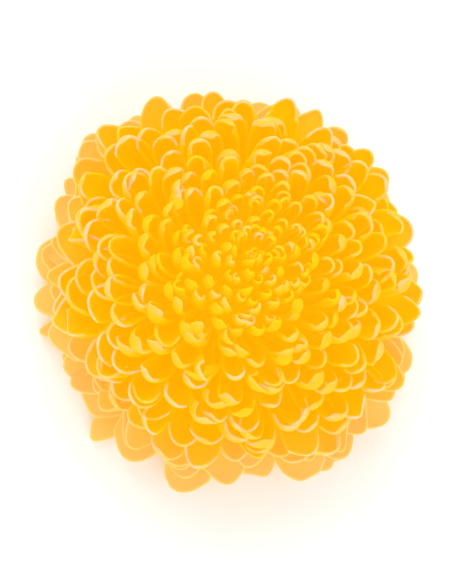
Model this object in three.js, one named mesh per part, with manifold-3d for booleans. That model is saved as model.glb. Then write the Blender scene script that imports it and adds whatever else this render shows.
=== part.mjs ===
// A preserved chrysanthemum head of the pompon kind, its stem cut flush under the bracts.
// Millimetres, +Z up. The origin is the middle of the stem's cut end, which the head stands on.
// A domed receptacle carries the ray florets. They follow one spiral in which each floret stands a golden angle
// round from the one before, so any 34 in a row make an even whorl. The first floret is at the apex.
// Polar angles are measured from +Z about the centre of the dome.
import * as THREE from "three";
import Module from "manifold-3d";
import { mergeVertices } from "three/addons/utils/BufferGeometryUtils.js";

const { degToRad, lerp, clamp } = THREE.MathUtils;
const wasm = await Module();
wasm.setup();

// Receptacle and the cut stem below it
const DOME_RADIUS = 6;
const DOME_CENTRE_Z = 12.6;
const DOME_SKIRT_ANGLE = degToRad(118);
const DOME_STEPS = 8;
const STEM_RADIUS = 2.2;
const STEM_LENGTH = 3.4;
const NECK_RADIUS = 3.25;
const NECK_Z = 4.9;
const FLARE_RADIUS = 4.3;
const FLARE_Z = 7.2;
const ROUND_STEPS = 20;

// The spiral of florets
const GOLDEN_ANGLE = Math.PI * (3 - Math.sqrt(5));
const WHORL_SIZE = 34;
const INNER_WHORLS = 12;
const FLORET_COUNT = WHORL_SIZE * (INNER_WHORLS + 1);
const TIP_ANGLE_STEP = degToRad(1.9);
const TIP_ANGLE_SPREAD = 1.93;
const TIP_ANGLE_POWER = 1.5;
const SKIRT_COUNT = 13; // the last florets of the spiral, which droop to the surface below
const SKIRT_TIP_ANGLE = degToRad(115.3);
const LAST_FOOT_ANGLE = degToRad(110);

// A floret starts narrow on the dome, widens, and bows outwards on its way to the tip
const TOP_REACH = 25.5;
const SIDE_REACH = 26.6;
const OUTERMOST_REACH = 28.6;
const REACH_VARIATION = 0.025;
const REACH_WAVE = 1.7;
const OUTWARD_BOW = degToRad(7);
const FOOT_WIDTH = 0.55;
const INNERMOST_WIDTH = 1.1;
const OUTERMOST_WIDTH = 4.6;
const FULL_WIDTH_FROM = 0.89; // share of the spiral from which florets have the outermost width
const WIDTH_POWER = 0.8;
const WIDEST_AT = 0.8;
const TIP_WIDTH_SHARE = 0.45;
const TROUGH_SIDES = 3;
const TROUGH_ROWS = 3;
const TROUGH_DEPTH_SHARE = 0.26;
const TROUGH_DEPTH_LEAST = 0.3;
const STRAP_COLUMNS = 2;
const STRAP_ROWS = 5;
const STRAP_THICKNESS = 0.45;
const STRAP_SCOOP_SHARE = 0.16;

// Rings that hold the feet of each inner whorl together, just clear of the dome
const RING_CLEARANCE = 0.3;
const RING_THICKNESS = 0.5;
const RING_GAP_ANGLE = RING_CLEARANCE / (DOME_RADIUS + RING_CLEARANCE);
const FEET_BAND = [0.4, 0.75]; // part of its ring's height that a whorl's feet take
const APEX_FEET_BAND = 0.94; // the same for the apex whorl, whose feet start at the apex itself

// Bracts: pointed leaves in one row under the head
const BRACT_COUNT = 13;
const BRACT_THICKNESS = 0.4;
const BRACT_WIDTH = 2.1;
const BRACT_TIP_WIDTH = 0.5;
const BRACT_HOLLOW = 0.15;
const BRACT_COLUMNS = 2;
const BRACT_ROWS = 3;
const BRACT_LINE = new THREE.QuadraticBezierCurve(
  new THREE.Vector2(4.75, 6.35),
  new THREE.Vector2(7.2, 6.3),
  new THREE.Vector2(9.3, 4.7),
);

const MERGE_WITHIN = 1e-4; // vertices this close together are one

const petalYellow = { color: 0xf7ac12, roughness: 0.7, metalness: 0 };
const petalPale = { color: 0xf0b95e, roughness: 0.75, metalness: 0 };
const stemGreen = { color: 0x8a9a4a, roughness: 0.8, metalness: 0 };
const bractGreen = { color: 0x94a355, roughness: 0.8, metalness: 0 };

const head = new THREE.Group();

function addNode(name, geometry, look, turn = 0) {
  const mesh = new THREE.Mesh(geometry, new THREE.MeshStandardMaterial(look));
  mesh.name = name;
  mesh.rotation.z = turn;
  head.add(mesh);
}

function numbered(name, index) {
  return `${name}_${String(index + 1).padStart(2, "0")}`;
}

function toSolid(geometry) {
  const bare = geometry.clone();
  bare.deleteAttribute("normal");
  bare.deleteAttribute("uv");
  const merged = mergeVertices(bare, MERGE_WITHIN);
  const corners = [];
  for (let i = 0; i < merged.index.count; i += 3) {
    const [a, b, c] = [0, 1, 2].map((corner) => merged.index.getX(i + corner));
    const collapsed = a === b || b === c || c === a;
    if (!collapsed) corners.push(a, b, c);
  }
  const vertProperties = merged.attributes.position.array;
  return new wasm.Manifold(new wasm.Mesh({ numProp: 3, vertProperties, triVerts: new Uint32Array(corners) }));
}

function toGeometry(solid) {
  const mesh = solid.getMesh();
  return new THREE.BufferGeometry()
    .setAttribute("position", new THREE.BufferAttribute(mesh.vertProperties, 3))
    .setIndex(new THREE.BufferAttribute(mesh.triVerts, 1));
}

// Point of the upright plane x-z at a distance from the dome's centre
function polarPoint(radius, angle) {
  return new THREE.Vector2(radius * Math.sin(angle), DOME_CENTRE_Z + radius * Math.cos(angle));
}

// Polar angle that leaves this share of all feet above it, with the feet evenly spread over the dome
function footAngle(share) {
  return Math.acos(1 - (1 - Math.cos(LAST_FOOT_ANGLE)) * share);
}

function ringAngles(whorl) {
  const start = footAngle((whorl * WHORL_SIZE) / FLORET_COUNT);
  const end = footAngle(((whorl + 1) * WHORL_SIZE) / FLORET_COUNT);
  return [start, end - RING_GAP_ANGLE];
}

function tipAngle(index) {
  if (index >= FLORET_COUNT - SKIRT_COUNT) return SKIRT_TIP_ANGLE;
  const spread = 1 + TIP_ANGLE_SPREAD * (index / FLORET_COUNT) ** TIP_ANGLE_POWER;
  return TIP_ANGLE_STEP * Math.sqrt(index + 0.5) * spread;
}

// Everything that sets a floret's size and place, worked out from its number in the spiral
function floretPlan(index) {
  const whorl = Math.floor(index / WHORL_SIZE);
  const along = ((index % WHORL_SIZE) + 0.5) / WHORL_SIZE;
  const inRing = whorl === 0 ? APEX_FEET_BAND * Math.sqrt(along) : lerp(...FEET_BAND, along);
  const tip = tipAngle(index);
  const size = Math.min(1, index / FLORET_COUNT / FULL_WIDTH_FROM) ** WIDTH_POWER;
  const unevenness = 1 + REACH_VARIATION * Math.sin(REACH_WAVE * index);
  const innerReach = lerp(TOP_REACH, SIDE_REACH, Math.sin(tip) ** 2);
  return {
    turn: index * GOLDEN_ANGLE,
    foot: lerp(...ringAngles(whorl), inRing),
    tip,
    footRadius: DOME_RADIUS + RING_CLEARANCE + RING_THICKNESS / 2,
    tipRadius: unevenness * (whorl < INNER_WHORLS ? innerReach : OUTERMOST_REACH),
    width: lerp(INNERMOST_WIDTH, OUTERMOST_WIDTH, size),
  };
}

// A floret's midline in its own upright plane; t runs from 0 at the foot to 1 at the tip
function midline(plan, t) {
  const turned = t * (2 - t); // the line leaves the dome square and turns early
  const bow = OUTWARD_BOW * Math.sin(Math.PI * t) * Math.sin(plan.tip);
  return polarPoint(lerp(plan.footRadius, plan.tipRadius, t), lerp(plan.foot, plan.tip, turned) + bow);
}

function widthAt(plan, t) {
  if (t < WIDEST_AT) return lerp(FOOT_WIDTH, plan.width, t / WIDEST_AT);
  const past = (t - WIDEST_AT) / (1 - WIDEST_AT);
  return plan.width * lerp(1, TIP_WIDTH_SHARE, past * past);
}

// Bends a block of unit length along a line of the plane x-z. The section says how far each of its vertices then
// stands across the line and above it.
function swept(block, lineAt, section) {
  const places = block.attributes.position;
  const step = 1e-3;
  for (let i = 0; i < places.count; i++) {
    const t = places.getZ(i) + 0.5;
    const at = lineAt(t);
    const ahead = lineAt(t + step).sub(lineAt(t - step)).normalize();
    const { across, above } = section(t, places.getX(i), places.getY(i));
    places.setXYZ(i, at.x - ahead.y * above, across, at.y + ahead.x * above);
  }
  return block;
}

// A floret rolled into a trough: three-sided, with its keel away from the apex
function rolledFloret(plan) {
  const prism = new THREE.CylinderGeometry(1, 1, 1, TROUGH_SIDES, TROUGH_ROWS).rotateX(Math.PI / 2);
  const sideLength = Math.sqrt(3); // of a triangle whose corners stand 1 from its middle
  return swept(prism, (t) => midline(plan, t), (t, x, y) => ({
    across: (x * widthAt(plan, t)) / sideLength,
    above: y * Math.max(TROUGH_DEPTH_LEAST, TROUGH_DEPTH_SHARE * widthAt(plan, t)),
  }));
}

// A floret opened into a broad strap of even thickness, its side edges raised
function openFloret(plan) {
  const strap = new THREE.BoxGeometry(1, 1, 1, STRAP_COLUMNS, 1, STRAP_ROWS);
  return swept(strap, (t) => midline(plan, t), (t, x, y) => ({
    across: x * widthAt(plan, t),
    above: (y + 0.5) * STRAP_THICKNESS + STRAP_SCOOP_SHARE * widthAt(plan, t) * (2 * x) ** 2,
  }));
}

// The apex whorl's ring is a cap; each of the others is a band round the dome
function ring(whorl) {
  const [start, end] = ringAngles(whorl);
  const inside = DOME_RADIUS + RING_CLEARANCE;
  const angles = whorl === 0 ? [start, end / 3, (2 * end) / 3, end] : [start, end];
  const under = angles.map((angle) => polarPoint(inside, angle));
  const over = angles.map((angle) => polarPoint(inside + RING_THICKNESS, angle)).reverse();
  const outline = whorl === 0 ? [...under, ...over] : [...under, ...over, under[0].clone()];
  return new THREE.LatheGeometry(outline, ROUND_STEPS).rotateX(Math.PI / 2);
}

function innerWhorl(whorl) {
  const solids = [toSolid(ring(whorl))];
  for (let i = 0; i < WHORL_SIZE; i++) {
    const plan = floretPlan(whorl * WHORL_SIZE + i);
    solids.push(toSolid(rolledFloret(plan).rotateZ(plan.turn)));
  }
  return toGeometry(wasm.Manifold.union(solids));
}

function receptacle() {
  const outline = [
    new THREE.Vector2(0, 0),
    new THREE.Vector2(STEM_RADIUS, 0),
    new THREE.Vector2(STEM_RADIUS, STEM_LENGTH),
    new THREE.Vector2(NECK_RADIUS, NECK_Z),
    new THREE.Vector2(FLARE_RADIUS, FLARE_Z),
  ];
  for (let i = 0; i <= DOME_STEPS; i++) {
    outline.push(polarPoint(DOME_RADIUS, DOME_SKIRT_ANGLE * (1 - i / DOME_STEPS)));
  }
  return new THREE.LatheGeometry(outline, ROUND_STEPS).rotateX(Math.PI / 2);
}

function bract() {
  const leaf = new THREE.BoxGeometry(1, 1, 1, BRACT_COLUMNS, 1, BRACT_ROWS);
  return swept(leaf, (t) => BRACT_LINE.getPoint(clamp(t, 0, 1)), (t, x, y) => ({
    across: x * lerp(BRACT_WIDTH, BRACT_TIP_WIDTH, t * t),
    above: y * BRACT_THICKNESS + BRACT_HOLLOW * (2 * x) ** 2,
  }));
}

addNode("receptacle_and_cut_stem", receptacle(), stemGreen);
for (let i = 0; i < BRACT_COUNT; i++) {
  addNode(numbered("bract", i), bract(), bractGreen, (i * 2 * Math.PI) / BRACT_COUNT);
}
for (let whorl = 0; whorl < INNER_WHORLS; whorl++) {
  addNode(numbered("floret_whorl", whorl), innerWhorl(whorl), petalYellow);
}
for (let i = 0; i < WHORL_SIZE; i++) {
  const plan = floretPlan(INNER_WHORLS * WHORL_SIZE + i);
  addNode(numbered("outer_floret", i), openFloret(plan), petalPale, plan.turn);
}

export default head;
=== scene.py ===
"""A preserved chrysanthemum head: ray florets on one spiral over a green receptacle, bracts and cut stem.

Metres, +Z up, origin at the middle of the stem's cut end. Angles called polar are measured from +Z
about the centre of the receptacle's dome.
"""
import math
import random

import bmesh
import bpy
from mathutils import Matrix, Vector


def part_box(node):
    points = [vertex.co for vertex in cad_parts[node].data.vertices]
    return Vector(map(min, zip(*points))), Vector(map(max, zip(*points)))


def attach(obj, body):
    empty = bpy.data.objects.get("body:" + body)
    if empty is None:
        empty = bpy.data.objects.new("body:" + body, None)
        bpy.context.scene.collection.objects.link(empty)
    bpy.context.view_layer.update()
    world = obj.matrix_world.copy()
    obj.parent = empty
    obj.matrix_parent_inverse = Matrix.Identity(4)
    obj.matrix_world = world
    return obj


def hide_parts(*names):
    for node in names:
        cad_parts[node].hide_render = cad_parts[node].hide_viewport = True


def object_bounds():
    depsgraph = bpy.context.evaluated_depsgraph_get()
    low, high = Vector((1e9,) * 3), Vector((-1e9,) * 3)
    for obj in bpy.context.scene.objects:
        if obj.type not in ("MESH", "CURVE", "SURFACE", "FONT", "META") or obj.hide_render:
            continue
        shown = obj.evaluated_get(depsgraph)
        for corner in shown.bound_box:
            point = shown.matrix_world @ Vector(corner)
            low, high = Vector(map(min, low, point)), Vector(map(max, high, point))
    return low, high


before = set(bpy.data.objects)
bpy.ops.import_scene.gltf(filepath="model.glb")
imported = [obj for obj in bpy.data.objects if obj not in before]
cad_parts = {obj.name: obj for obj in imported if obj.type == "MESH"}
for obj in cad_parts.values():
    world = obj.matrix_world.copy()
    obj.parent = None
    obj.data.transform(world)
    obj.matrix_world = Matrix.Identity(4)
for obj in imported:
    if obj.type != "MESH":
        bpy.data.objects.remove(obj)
cad_low, cad_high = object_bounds()

MM = 0.001

# The dome that carries the florets, as it stands in the frame
RECEPTACLE = "receptacle_and_cut_stem"
receptacle_low, receptacle_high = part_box(RECEPTACLE)
DOME_RADIUS = (receptacle_high.x - receptacle_low.x) / 2
DOME_CENTRE_Z = receptacle_high.z - DOME_RADIUS

# The spiral
GOLDEN_ANGLE = math.pi * (3 - math.sqrt(5))
WHORL_SIZE = 34
INNER_WHORLS = 12
FLORET_COUNT = WHORL_SIZE * (INNER_WHORLS + 1)
TIP_ANGLE_STEP = math.radians(1.9)
TIP_ANGLE_SPREAD = 1.93
TIP_ANGLE_POWER = 1.5
LOWEST_TIP_ANGLE = math.radians(112)
LAST_FOOT_ANGLE = math.radians(110)

# Florets
FOOT_CLEARANCE = 0.3 * MM
TOP_REACH = 25.6 * MM
SIDE_REACH = 26.4 * MM
SKIRT_REACH = 29.6 * MM
OUTWARD_BOW = math.radians(9)
WIDEST_SPACING = 5.8 * MM
FOOT_HALF_WIDTH = 0.3 * MM
WALL = 0.34 * MM
STATIONS = 48
STRAP_COLUMNS = 6
STRAP_ROWS = 11
APEX_STRAP_ROWS = 9
APEX_WHORLS = 2  # their florets are so small that they need fewer rows
ROW_CROWDING = 1.8  # above 1, rows of faces stand closer together towards the tip
SMOOTH_LEVEL = 1
TIP_ROUND_POWER = 6  # how late along a floret its end begins to round off
NOTCH_POWER = 10
NOTCH_WIDTH = 0.3  # as a share of the half width
WAVES_ALONG = 7
WAVES_ACROSS = 2.5
# Where the outline stands out or falls in: azimuth, half width, and how far
BULGES = [
    (math.radians(35), math.radians(9), -1.4 * MM),
    (math.radians(163), math.radians(13), 3.0 * MM),
    (math.radians(198), math.radians(9), -1.2 * MM),
    (math.radians(250), math.radians(20), -2.8 * MM),
    (math.radians(286), math.radians(8), 0.8 * MM),
    (math.radians(312), math.radians(14), -1.9 * MM),
    (math.radians(338), math.radians(16), 1.2 * MM),
]
OPEN_SIDE = math.radians(222)  # the florets of this side have opened further than the others
OPEN_SPREAD = math.radians(40)
REST_HEIGHT = 0.9 * MM  # below this a floret flattens towards the surface
FLORET_SEED = 1000

# The receptacle below its dome, and the cut end of the stem
STEM_RADIUS = 2.2 * MM
STEM_LENGTH = 3.4 * MM
NECK_RADIUS = 3.25 * MM
NECK_Z = 4.9 * MM
FLARE_RADIUS = 4.3 * MM
FLARE_Z = 7.2 * MM
DOME_SKIRT_ANGLE = math.radians(118)
DOME_STEPS = 8
PITH_RADIUS = 1.0 * MM
PITH_DEPTH = 0.25 * MM
CUT_ROUNDING = 0.15 * MM
STEM_RIBS = 8
RIB_SHARE = 0.06
ROUND_STEPS = 64
MERGE_WITHIN = 0.001 * MM
GOLD_AND_GLOW_DEPTH = 3 * MM  # how far below the dome's middle the stalk's green begins to turn to the petals' gold and to shine with a painted glow

# Bracts
BRACT_COUNT = 13
BRACT_SEED = 5000
BRACT_HALF_WIDTH = 1.15 * MM
BRACT_TAPER = 0.8
BRACT_CURL = 0.25 * MM
BRACT_MIDRIB = 0.14 * MM
BRACT_MIDRIB_WIDTH = 0.25  # as a share of the half width
BRACT_WALL = 0.3 * MM
BRACT_DROOP_POWER = 2.2
BRACT_TAPER_POWER = 1.6
BRACT_COLUMNS = 8
BRACT_ROWS = 8


def ease(low, high, value):
    """0 below low, 1 above high, smooth between."""
    t = min(1.0, max(0.0, (value - low) / (high - low)))
    return t * t * (3 - 2 * t)


def keyed(value, *keys):
    """Reads a curve given as (place, amount) pairs, straight between them."""
    for (x0, y0), (x1, y1) in zip(keys, keys[1:]):
        if value <= x1:
            return y0 + (y1 - y0) * max(0.0, (value - x0) / (x1 - x0))
    return keys[-1][1]


def near(angle, target, spread):
    """1 where an angle meets its target, falling to 0 over about twice the spread."""
    off = (angle - target + math.pi) % (2 * math.pi) - math.pi
    return math.exp(-((off / spread) ** 2))


# ---------------------------------------------------------------- the spiral


def tip_angle(index):
    spread = 1 + TIP_ANGLE_SPREAD * (index / FLORET_COUNT) ** TIP_ANGLE_POWER
    return TIP_ANGLE_STEP * math.sqrt(index + 0.5) * spread


def spacing(index):
    """Distance between neighbouring tips on the head's outside."""
    step = tip_angle(index + 1) - tip_angle(index)
    return min(WIDEST_SPACING, TOP_REACH * math.sqrt(2 * math.pi * math.sin(tip_angle(index)) * step))


def foot_angle(index):
    share = (index + 0.5) / FLORET_COUNT
    return math.acos(1 - (1 - math.cos(LAST_FOOT_ANGLE)) * share)


class Floret:
    """One ray floret: a strap whose sides roll up into a tube or scoop and whose tip hooks over it.

    age runs from 0 at the apex to 1 at the skirt and sets most of the rest.
    """

    def __init__(self, index):
        chance = random.Random(FLORET_SEED + index)
        s = index / (FLORET_COUNT - 1)
        self.age = s
        pale = keyed(s, (0, 0), (0.1, 0.05), (0.25, 0.3), (0.45, 0.65), (1, 0.85)) + chance.gauss(0, 0.3)
        self.turn = index * GOLDEN_ANGLE + chance.gauss(0, 0.035)
        self.foot = foot_angle(index)
        self.tip = min(tip_angle(index), LOWEST_TIP_ANGLE) + math.radians(chance.gauss(0, 1.5))
        side = math.sin(min(self.tip, math.pi / 2)) ** 2
        reach = TOP_REACH + (SIDE_REACH - TOP_REACH) * side
        reach += (SKIRT_REACH - SIDE_REACH) * ease(0.86, 0.97, s)
        for azimuth, spread, extra in BULGES:
            reach += extra * near(self.turn, azimuth, spread) * ease(0.55, 0.8, s)
        self.reach = reach * (1 + chance.gauss(0, 0.022 - 0.011 * ease(0.7, 0.9, s)))
        fullness = keyed(
            s, (0, 0.85), (0.1, 0.82), (0.25, 0.86), (0.4, 0.94), (0.8, 0.98), (0.9, 1.25), (1, 1.5)
        )
        self.half_width = spacing(index) * fullness / 2 * (1 + chance.gauss(0, 0.08))
        self.bow = OUTWARD_BOW * (1 + chance.gauss(0, 0.3))
        self.roll_foot = keyed(s, (0, 2.7), (0.15, 2.6), (0.4, 2.2), (0.7, 1.9), (0.9, 1.4), (1, 1.0))
        self.roll_mouth = keyed(
            s,
            (0, 2.7), (0.07, 2.4), (0.16, 2.1), (0.3, 1.8), (0.5, 1.55), (0.8, 1.3), (0.9, 0.75), (1, 0.4),
        )
        self.roll_mouth *= 1 + chance.gauss(0, 0.12)
        hook = keyed(
            s, (0, 70), (0.1, 65), (0.2, 65), (0.35, 85), (0.6, 95), (0.85, 75), (0.93, 30), (1, 5)
        )
        self.hook = math.radians(hook) * (1 + chance.gauss(0, 0.3))
        self.hook_from = keyed(s, (0, 0.88), (0.3, 0.86), (0.6, 0.84), (1, 0.86))
        opened = near(self.turn, OPEN_SIDE, OPEN_SPREAD) * ease(0.4, 0.5, s) * (1 - ease(0.8, 0.9, s))
        self.hook *= 1 - 0.35 * opened
        self.half_width *= 1 + 0.2 * opened
        self.pale = min(1.0, max(0.0, pale + 0.4 * opened))
        self.taper = keyed(s, (0, 0.6), (0.1, 0.5), (0.25, 0.35), (0.7, 0.28), (0.9, 0.08), (1, 0.05))
        self.skew = chance.gauss(0, 0.38)
        self.bluntness = max(1.3, chance.gauss(1.75, 0.35)) + 0.9 * ease(0.8, 0.95, s)
        self.tip_round = 1.1 * (1 - 0.4 * ease(0.85, 0.95, s))
        self.lean = chance.gauss(0, 0.065)
        self.twist = chance.gauss(0, 0.42)
        self.notch = max(0.0, chance.gauss(0.0, 0.02))
        self.wave = chance.gauss(0, 0.09) * (1 + ease(0.85, 1, s))
        self.phase = chance.uniform(0, 2 * math.pi)
        self.line = self.midline()

    def midline(self):
        """Points, headings and distances of the midline in the floret's upright plane: x outwards, z up."""
        start = DOME_RADIUS + FOOT_CLEARANCE

        def plain(t):
            bow = self.bow * math.sin(math.pi * t) * math.sin(self.tip)
            polar = self.foot + (self.tip - self.foot) * t * (2 - t) + bow
            radius = start + (self.reach - start) * t
            return Vector((radius * math.sin(polar), DOME_CENTRE_Z + radius * math.cos(polar)))

        here = plain(0)
        line = []
        for k in range(STATIONS + 1):
            t = k / STATIONS
            step = plain(t + 0.5 / STATIONS) - plain(t - 0.5 / STATIONS)
            heading = math.atan2(step.y, step.x) + self.hook * ease(self.hook_from, 1.02, t)
            line.append((here.copy(), heading))
            here += Vector((math.cos(heading), math.sin(heading))) * step.length
        return line

    def at(self, t):
        place = min(max(t, 0.0), 1.0) * STATIONS
        k = min(int(place), STATIONS - 1)
        (p0, h0), (p1, h1) = self.line[k], self.line[k + 1]
        mix = place - k
        return p0.lerp(p1, mix), h0 + (h1 - h0) * mix

    def point(self, u, v):
        """u from -1 to 1 across, v from 0 at the foot to 1 at the tip."""
        tip_round = self.tip_round * self.half_width / (self.reach - DOME_RADIUS)
        t = v - tip_round * v**TIP_ROUND_POWER * abs(u - self.skew * (1 - u * u)) ** self.bluntness
        t -= self.notch * v**NOTCH_POWER * math.exp(-((u / NOTCH_WIDTH) ** 2))
        centre, heading = self.at(t)
        widen = ease(0.05, 0.86, t)
        half = FOOT_HALF_WIDTH + (self.half_width - FOOT_HALF_WIDTH) * widen
        half *= 1 - self.taper * ease(0.8, 1, t)
        roll = self.roll_foot + (self.roll_mouth - self.roll_foot) * ease(0.35, 0.92, t)
        radius = half / math.sin(min(roll, math.pi / 2))
        across = -radius * math.sin(roll * u)
        raised = radius * (1 - math.cos(roll * u))
        ripple = math.sin(WAVES_ALONG * v + WAVES_ACROSS * u + self.phase)
        raised += self.half_width * self.wave * ripple * v**3
        twist = self.twist * v * v
        across, raised = (
            across * math.cos(twist) - raised * math.sin(twist),
            across * math.sin(twist) + raised * math.cos(twist),
        )
        x = centre.x - math.sin(heading) * raised
        z = centre.y + math.cos(heading) * raised
        if z < REST_HEIGHT:
            z = WALL + (REST_HEIGHT - WALL) * math.exp((z - REST_HEIGHT) / (REST_HEIGHT - WALL))
        turn = self.turn + self.lean * v * v
        return Vector((
            x * math.cos(turn) - across * math.sin(turn),
            x * math.sin(turn) + across * math.cos(turn),
            z,
        ))


# ---------------------------------------------------------------- materials


NOISE_ROUGHNESS = 0.55
# A Mix node has sockets of the same names for each kind of value. These are the places of those for colour
MIX_COLOUR_A = 6
MIX_COLOUR_B = 7
MIX_COLOUR_RESULT = 2


class Nodes:
    """A short way to write a material's node tree."""

    def __init__(self, name):
        self.material = bpy.data.materials.new(name)
        self.material.use_nodes = True
        self.tree = self.material.node_tree
        self.shader = self.tree.nodes["Principled BSDF"]

    def add(self, kind, **settings):
        node = self.tree.nodes.new(kind)
        for key, value in settings.items():
            setattr(node, key, value)
        return node

    def feed(self, socket, value):
        if isinstance(value, bpy.types.NodeSocket):
            self.tree.links.new(value, socket)
        else:
            socket.default_value = value

    def math(self, operation, a, b=0.0):
        node = self.add("ShaderNodeMath", operation=operation)
        self.feed(node.inputs[0], a)
        self.feed(node.inputs[1], b)
        return node.outputs[0]

    def span(self, value, low, high, to_low=0.0, to_high=1.0):
        node = self.add("ShaderNodeMapRange", interpolation_type="SMOOTHSTEP")
        for socket, number in zip(node.inputs, (value, low, high, to_low, to_high)):
            self.feed(socket, number)
        return node.outputs[0]

    def mix(self, factor, a, b, blend="MIX"):
        node = self.add("ShaderNodeMix", data_type="RGBA", blend_type=blend)
        self.feed(node.inputs["Factor"], factor)
        self.feed(node.inputs[MIX_COLOUR_A], a)
        self.feed(node.inputs[MIX_COLOUR_B], b)
        return node.outputs[MIX_COLOUR_RESULT]

    def noise(self, vector, scale, detail):
        node = self.add("ShaderNodeTexNoise")
        self.feed(node.inputs["Vector"], vector)
        node.inputs["Scale"].default_value = scale
        node.inputs["Detail"].default_value = detail
        node.inputs["Roughness"].default_value = NOISE_ROUGHNESS
        return node.outputs["Fac"]

    def stretched(self, vector, scale):
        node = self.add("ShaderNodeMapping")
        self.feed(node.inputs["Vector"], vector)
        node.inputs["Scale"].default_value = scale
        return node.outputs["Vector"]

    def bump(self, height, strength, distance):
        node = self.add("ShaderNodeBump")
        self.feed(node.inputs["Height"], height)
        node.inputs["Strength"].default_value = strength
        node.inputs["Distance"].default_value = distance
        self.feed(self.shader.inputs["Normal"], node.outputs["Normal"])


# Painted glow: a petal shines with its own colour as emission, whatever lamps there are, standing in for
# light through the thin petals and lightening their shade; LIT dims the colour it throws back to make room
# for the glow
LIT = 0.62
PAINTED_GLOW = 0.50
GOLDEN = (0.90, 0.50, 0.003, 1)
# Slightly lighter gold: painted light at the florets' feet, deep in the head where they shade one another;
# also the veins' colour
PAINTED_FILL_AND_VEIN_GOLD = (0.92, 0.53, 0.001, 1)
EDGE_YELLOW = (0.88, 0.49, 0.012, 1)
PEACH = (0.87, 0.54, 0.34, 1)
APRICOT = (0.77, 0.52, 0.16, 1)
CUT_PALE = (0.72, 0.68, 0.40, 1)
CUT_DARK = (0.42, 0.38, 0.16, 1)
STALK_LIGHT = (0.34, 0.38, 0.10, 1)
STALK_DARK = (0.20, 0.25, 0.05, 1)
LEAF_LIGHT = (0.40, 0.44, 0.14, 1)
LEAF_DARK = (0.24, 0.30, 0.07, 1)
LEAF_YELLOWED = (0.46, 0.40, 0.12, 1)
BLACK = (0, 0, 0, 1)

# How fine each pattern is: about how many changes over a floret, or in a metre
VEINS_ACROSS = 26
VEINS_ALONG = 1.6
MOTTLE_SCALE = 260
PATCH_SCALE = 420
STALK_STREAKS = 900
LEAF_STREAKS = 1100
LEAF_BLOTCHES = 350
CUT_FIBRES = 3500


def petal(name, tip_from, tip_amount, edge_amount):
    """Preserved petal: gold that pales to peach at the tip, and to apricot in the oldest florets. A
    slightly lighter gold at the foot is painted light in the shaded depths between florets, and the petal
    shines with its own colour as a painted glow.
    """
    n = Nodes(name)
    place = n.add("ShaderNodeUVMap", uv_map="UVMap").outputs["UV"]
    parts = n.add("ShaderNodeSeparateXYZ")
    n.feed(parts.inputs[0], place)
    age = n.add("ShaderNodeAttribute", attribute_name="age").outputs["Fac"]
    pale = n.add("ShaderNodeAttribute", attribute_name="pale").outputs["Fac"]
    solid = n.add("ShaderNodeTexCoord").outputs["Object"]
    veins = n.noise(n.stretched(place, (VEINS_ACROSS, VEINS_ALONG, 1)), 1.0, 2.0)
    mottle = n.noise(solid, MOTTLE_SCALE, 3.0)
    patches = n.span(n.noise(solid, PATCH_SCALE, 1.0), 0.38, 0.62)
    off_centre = n.math("ABSOLUTE", n.math("SUBTRACT", parts.outputs["X"], 0.5))
    unevenness = n.math("MULTIPLY", n.math("SUBTRACT", mottle, 0.5), 0.06)
    along = n.math("ADD", parts.outputs["Y"], unevenness)
    # Painted light: each floret's foot is a slightly lighter gold, lifting the shade deep between the
    # florets
    colour = n.mix(n.span(along, 0.45, 0.85), PAINTED_FILL_AND_VEIN_GOLD, GOLDEN)
    edge = n.math("MULTIPLY", n.span(off_centre, 0.36, 0.5, 0.0, edge_amount), patches)
    colour = n.mix(edge, colour, EDGE_YELLOW)
    tip = n.math("MULTIPLY", n.span(along, tip_from, 1.0, 0.0, tip_amount), pale)
    tip = n.math("MULTIPLY", tip, n.span(patches, 0.0, 1.0, 0.35, 1.0))
    colour = n.mix(tip, colour, PEACH)
    old = n.span(age, 0.68, 0.92, 0.0, 0.9)
    bleach = n.math("MULTIPLY", old, n.span(along, 0.4, 0.88, 0.25, 1.0))
    colour = n.mix(bleach, colour, APRICOT)
    colour = n.mix(n.span(veins, 0.35, 0.7, 0.0, 0.10), colour, PAINTED_FILL_AND_VEIN_GOLD)
    n.feed(n.shader.inputs["Base Color"], n.mix(1.0, colour, (LIT, LIT, LIT, 1), "MULTIPLY"))
    n.feed(n.shader.inputs["Roughness"], n.span(mottle, 0.3, 0.7, 0.5, 0.66))
    n.shader.inputs["Specular IOR Level"].default_value = 0.12
    n.shader.inputs["Subsurface Weight"].default_value = 0.7
    n.shader.inputs["Subsurface Radius"].default_value = (1.0, 0.8, 0.3)
    n.shader.inputs["Subsurface Scale"].default_value = 1.5 * MM
    # Painted glow: the petal shines with its own colour, whatever lamps there are
    n.feed(n.shader.inputs["Emission Color"], colour)
    n.shader.inputs["Emission Strength"].default_value = PAINTED_GLOW
    n.bump(veins, 0.25, 0.06 * MM)
    return n.material


def streaked(n, light, dark, scale):
    """Makes a material matt and streaked upwards. Returns its colour and its Object coordinates."""
    solid = n.add("ShaderNodeTexCoord").outputs["Object"]
    streaks = n.noise(n.stretched(solid, (scale, scale, scale / 6)), 1.0, 4.0)
    n.feed(n.shader.inputs["Roughness"], n.span(streaks, 0.3, 0.7, 0.6, 0.8))
    n.bump(streaks, 0.4, 0.08 * MM)
    return n.mix(n.span(streaks, 0.3, 0.7), dark, light), solid


def bract_green():
    """Green leaf, yellowed in blotches."""
    n = Nodes("bract_green")
    colour, solid = streaked(n, LEAF_LIGHT, LEAF_DARK, LEAF_STREAKS)
    blotches = n.span(n.noise(solid, LEAF_BLOTCHES, 2.0), 0.55, 0.7, 0.0, 0.4)
    n.feed(n.shader.inputs["Base Color"], n.mix(blotches, colour, LEAF_YELLOWED))
    return n.material


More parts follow.
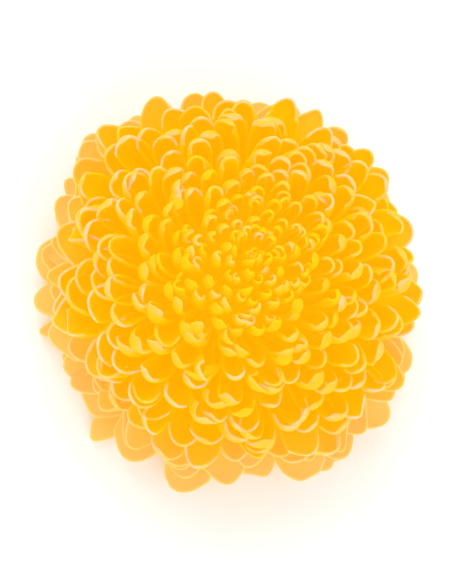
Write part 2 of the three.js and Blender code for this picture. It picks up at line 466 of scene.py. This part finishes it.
def stalk_green():
    """Green stalk, with a pale fibrous cut face below, and the petals' gold with a painted glow where the
    florets stand.
    """
    n = Nodes("stalk_green")
    colour, solid = streaked(n, STALK_LIGHT, STALK_DARK, STALK_STREAKS)
    height = n.add("ShaderNodeSeparateXYZ")
    n.feed(height.inputs[0], solid)
    fibres = n.span(n.noise(solid, CUT_FIBRES, 2.0), 0.42, 0.6)
    cut = n.mix(fibres, CUT_DARK, CUT_PALE)
    above_cut = n.span(height.outputs["Z"], CUT_ROUNDING, 2 * CUT_ROUNDING + PITH_DEPTH)
    colour = n.mix(above_cut, cut, colour)
    glowing_floret_bed = n.span(height.outputs["Z"], DOME_CENTRE_Z - GOLD_AND_GLOW_DEPTH, DOME_CENTRE_Z)
    n.feed(n.shader.inputs["Base Color"], n.mix(glowing_floret_bed, colour, GOLDEN))
    # Painted glow: the dome shines gold between the florets' feet, whatever lamps there are
    n.feed(n.shader.inputs["Emission Color"], n.mix(glowing_floret_bed, BLACK, GOLDEN))
    n.shader.inputs["Emission Strength"].default_value = PAINTED_GLOW
    return n.material


FACE = petal("petal_face", 0.88, 0.8, 0.5)
BACK = petal("petal_back", 0.78, 1.0, 0.4)
RIM = petal("petal_rim", 0.82, 1.0, 0.7)
STALK = stalk_green()
LEAF = bract_green()


# ---------------------------------------------------------------- pieces


def finish_piece(bm, name, materials, slot, *nodes):
    mesh = bpy.data.meshes.new(name)
    bm.to_mesh(mesh)
    bm.free()
    for polygon in mesh.polygons:
        polygon.use_smooth = True
    for material in materials:
        mesh.materials.append(material)
    piece = bpy.data.objects.new(name, mesh)
    bpy.context.scene.collection.objects.link(piece)
    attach(piece, "root")
    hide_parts(*nodes)
    return piece


def thicken(piece, thickness):
    """Gives an open sheet its wall, with the second material on its back and the third on its edge."""
    wall = piece.modifiers.new("wall", "SOLIDIFY")
    wall.thickness = thickness
    wall.offset = -1
    wall.material_offset = 1
    wall.material_offset_rim = 2
    smooth = piece.modifiers.new("smooth", "SUBSURF")
    smooth.levels = SMOOTH_LEVEL
    smooth.render_levels = SMOOTH_LEVEL


def strap(shape, columns, rows):
    """A grid laid out by shape(u, v), its rows closer together towards v = 1."""
    bm = bmesh.new()
    bm.loops.layers.uv.new("UVMap")
    bmesh.ops.create_grid(bm, x_segments=columns, y_segments=rows, size=1, calc_uvs=True)
    for vert in bm.verts:
        v = 1 - ((1 - vert.co.y) / 2) ** ROW_CROWDING
        vert.co = shape(vert.co.x, v)
    return bm


def make_floret(index):
    floret = Floret(index)
    at_apex = index < APEX_WHORLS * WHORL_SIZE
    bm = strap(floret.point, STRAP_COLUMNS, APEX_STRAP_ROWS if at_apex else STRAP_ROWS)
    for name in ("age", "pale"):
        layer = bm.verts.layers.float.new(name)
        for vert in bm.verts:
            vert[layer] = getattr(floret, name)
    whorl, place = divmod(index, WHORL_SIZE)
    number = f"{place + 1:02d}"
    if whorl < INNER_WHORLS:
        name = f"whorl_{whorl + 1:02d}_floret_{number}"
        slot = "floret"
        node = f"floret_whorl_{whorl + 1:02d}"
    else:
        name = f"skirt_floret_{number}"
        slot = "floret_bleached"
        node = f"outer_floret_{number}"
    piece = finish_piece(bm, name, (FACE, BACK, RIM), slot, node)
    thicken(piece, WALL)


for floret_index in range(FLORET_COUNT):
    make_floret(floret_index)


def stalk_profile():
    """Half outline from the pith's sunk middle, out over the cut edge and up to the top of the dome."""
    points = [
        (0, PITH_DEPTH),
        (PITH_RADIUS, 0.8 * PITH_DEPTH),
        (1.3 * PITH_RADIUS, 0),
        (STEM_RADIUS - CUT_ROUNDING, 0),
        (STEM_RADIUS, CUT_ROUNDING),
        (STEM_RADIUS, STEM_LENGTH),
        (NECK_RADIUS, NECK_Z),
        (FLARE_RADIUS, FLARE_Z),
    ]
    for step in range(DOME_STEPS + 1):
        angle = DOME_SKIRT_ANGLE * (1 - step / DOME_STEPS)
        points.append((DOME_RADIUS * math.sin(angle), DOME_CENTRE_Z + DOME_RADIUS * math.cos(angle)))
    return [Vector((x, 0, z)) for x, z in points]


def make_receptacle():
    bm = bmesh.new()
    verts = [bm.verts.new(point) for point in stalk_profile()]
    edges = [bm.edges.new(pair) for pair in zip(verts, verts[1:])]
    bmesh.ops.spin(
        bm,
        geom=verts + edges,
        cent=(0, 0, 0),
        axis=(0, 0, 1),
        angle=2 * math.pi,
        steps=ROUND_STEPS,
        use_merge=True,
    )
    bmesh.ops.remove_doubles(bm, verts=bm.verts, dist=MERGE_WITHIN)
    bmesh.ops.recalc_face_normals(bm, faces=bm.faces)
    for vert in bm.verts:
        ribbed = 1 - ease(NECK_Z, FLARE_Z, vert.co.z)
        groove = (1 - math.cos(STEM_RIBS * math.atan2(vert.co.y, vert.co.x))) / 2
        vert.co.xy *= 1 - RIB_SHARE * ribbed * groove
    finish_piece(bm, "receptacle_and_stem", (STALK,), "stem", RECEPTACLE)


def make_bract(index):
    """A pointed leaf with a midrib, its sides curled up and its tip drooping; no two droop quite alike."""
    low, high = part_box("bract_01")
    chance = random.Random(BRACT_SEED + index)
    start = high.z - BRACT_WALL
    droop = (high.z - low.z - 2 * BRACT_WALL) * (1 + chance.gauss(0, 0.12))
    length = (high.x - low.x) * (1 + chance.gauss(0, 0.05))
    turn = index * 2 * math.pi / BRACT_COUNT + chance.gauss(0, 0.03)

    def shape(u, v):
        half = BRACT_HALF_WIDTH * (1 - BRACT_TAPER * v**BRACT_TAPER_POWER)
        x = low.x + length * v
        y = half * u
        z = start - droop * v**BRACT_DROOP_POWER + BRACT_CURL * u * u
        z += BRACT_MIDRIB * math.exp(-((u / BRACT_MIDRIB_WIDTH) ** 2)) * (1 - v)
        return Vector((
            x * math.cos(turn) - y * math.sin(turn),
            x * math.sin(turn) + y * math.cos(turn),
            z,
        ))

    bm = strap(shape, BRACT_COLUMNS, BRACT_ROWS)
    number = f"{index + 1:02d}"
    piece = finish_piece(bm, f"leafy_bract_{number}", (LEAF, LEAF, LEAF), "bract", f"bract_{number}")
    thicken(piece, BRACT_WALL)


make_receptacle()
for bract_index in range(BRACT_COUNT):
    make_bract(bract_index)


# ---------------------------------------------------------------- floor, light and camera


FLOOR_GAP = 0.05 * MM  # keeps the floor clear of the stem's flat cut face
FLOOR_HALF_SIDE = 1.5
ROOM_LIGHT = 0.92
LIGHTS = {  # place, size and power
    "window": ((-0.5, 0.45, 0.9), 0.7, 4),
    "fill": ((0.6, -0.5, 0.7), 0.9, 3),
}
LIT_POINT = (0, 0, 0.02)
BOUNCES = 40  # light goes round many times between the petals


def make_floor():
    bm = bmesh.new()
    bmesh.ops.create_grid(bm, x_segments=1, y_segments=1, size=FLOOR_HALF_SIDE)
    n = Nodes("pale_floor")
    n.shader.inputs["Base Color"].default_value = (0.96, 0.96, 0.96, 1)
    n.shader.inputs["Roughness"].default_value = 0.9
    bmesh.ops.translate(bm, verts=bm.verts, vec=(0, 0, cad_low.z - FLOOR_GAP))
    mesh = bpy.data.meshes.new("floor")
    bm.to_mesh(mesh)
    bm.free()
    mesh.materials.append(n.material)
    floor = bpy.data.objects.new("floor", mesh)
    bpy.context.scene.collection.objects.link(floor)


def make_light(name, place, size, power):
    light = bpy.data.lights.new(name, "AREA")
    light.size = size
    light.energy = power
    lamp = bpy.data.objects.new(name, light)
    lamp.location = place
    lamp.rotation_euler = (Vector(LIT_POINT) - Vector(place)).to_track_quat("-Z", "Y").to_euler()
    bpy.context.scene.collection.objects.link(lamp)


def make_world():
    world = bpy.data.worlds.new("soft_room")
    world.use_nodes = True
    world.node_tree.nodes["Background"].inputs["Color"].default_value = (1, 1, 1, 1)
    world.node_tree.nodes["Background"].inputs["Strength"].default_value = ROOM_LIGHT
    bpy.context.scene.world = world


CAMERA_TILT = math.radians(10.5)
CAMERA_ROLL = math.radians(35)
CAMERA_SIDE = math.radians(-90)
LENS = 110
FRAME_HEIGHT = 78.5 * MM
LOOK_AT = Vector((0, 0, 13 * MM))
AIM_OFFSET = Vector((-1.0, -0.9, 0)) * MM


def make_camera():
    data = bpy.data.cameras.new("camera")
    data.lens = LENS
    camera = bpy.data.objects.new("camera", data)
    back = Vector((
        math.sin(CAMERA_TILT) * math.cos(CAMERA_SIDE),
        math.sin(CAMERA_TILT) * math.sin(CAMERA_SIDE),
        math.cos(CAMERA_TILT),
    ))
    distance = FRAME_HEIGHT * LENS / data.sensor_width
    axes = (-back).to_track_quat("-Z", "Y").to_matrix() @ Matrix.Rotation(CAMERA_ROLL, 3, "Z")
    camera.location = LOOK_AT + back * distance + axes @ AIM_OFFSET
    camera.rotation_euler = axes.to_euler()
    data.clip_start = 0.01
    bpy.context.scene.collection.objects.link(camera)
    bpy.context.scene.camera = camera


make_floor()
make_world()
for light_name, (light_place, light_size, light_power) in LIGHTS.items():
    make_light(light_name, light_place, light_size, light_power)
make_camera()
bpy.context.scene.view_settings.view_transform = "Standard"
bpy.context.scene.cycles.max_bounces = BOUNCES
bpy.context.scene.cycles.diffuse_bounces = BOUNCES
